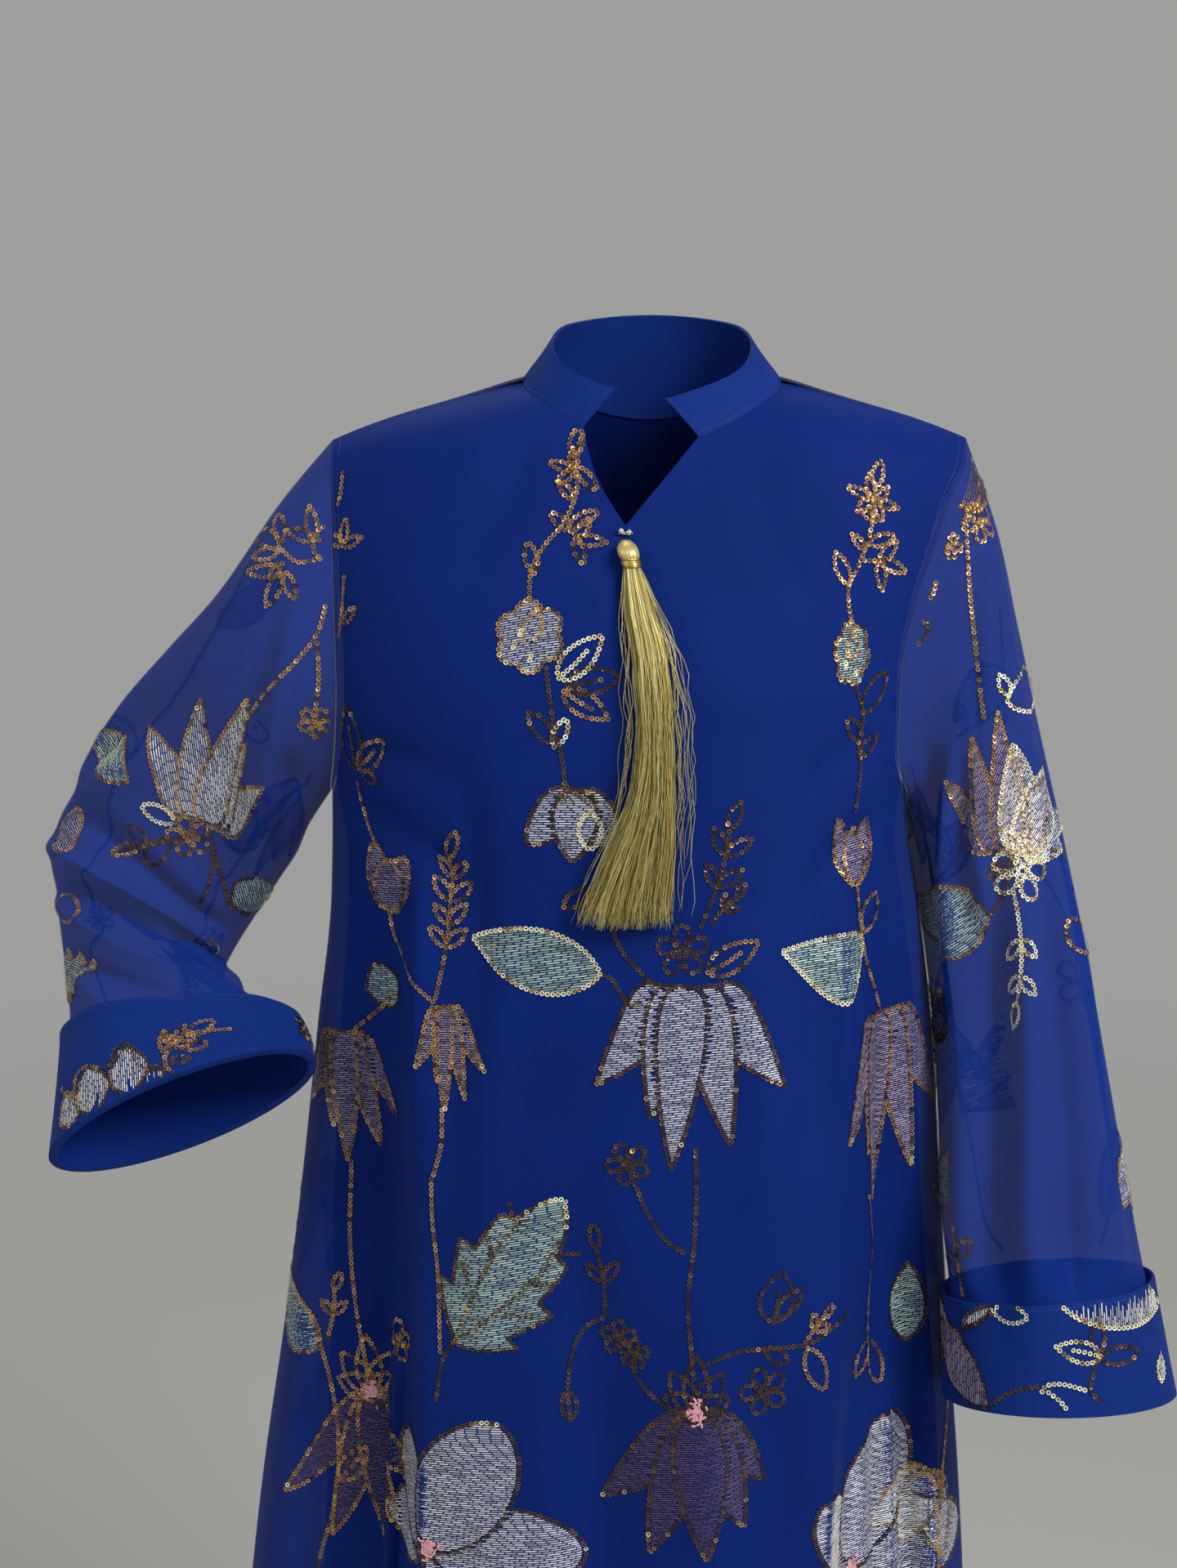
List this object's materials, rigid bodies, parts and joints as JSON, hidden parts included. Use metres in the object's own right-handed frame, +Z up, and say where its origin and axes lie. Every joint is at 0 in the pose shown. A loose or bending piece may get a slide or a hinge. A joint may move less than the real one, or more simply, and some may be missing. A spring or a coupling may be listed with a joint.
{
  "type": "abaya",
  "caption": "Full-length sheer abaya with stand collar, tassel-closed neck slit, wide sleeves with turned-back cuffs and sequin flowers, in its hollow worn shape.",
  "frame": {"origin": "centre of the neck at the height of the shoulder ends of the collar seam, where the wearer's shoulders carry the garment", "axes": "+Z up along the garment, -Y the way the wearer faces, +X to the wearer's left"},
  "size_m": [0.7623, 0.393, 1.4202],
  "materials": {
    "chiffon": "sheer royal-blue chiffon, matt",
    "lining": "opaque royal-blue lining",
    "double_cloth": "doubled royal-blue cloth, pressed",
    "silver_thread": "silver metallic thread and bead",
    "gold_thread": "gold metallic thread"
  },
  "bodies": {
    "root": {"front": "chiffon", "back": "chiffon", "sleeve_right": "chiffon", "sleeve_left": "chiffon", "lining_front": "lining", "lining_back": "lining", "cuff_right": "double_cloth", "cuff_left": "double_cloth", "collar": "double_cloth", "slit_knot": "silver_thread", "tassel_head": "gold_thread", "tassel_band": "gold_thread", "tassel_skirt": "gold_thread"}
  },
  "joints": []
}
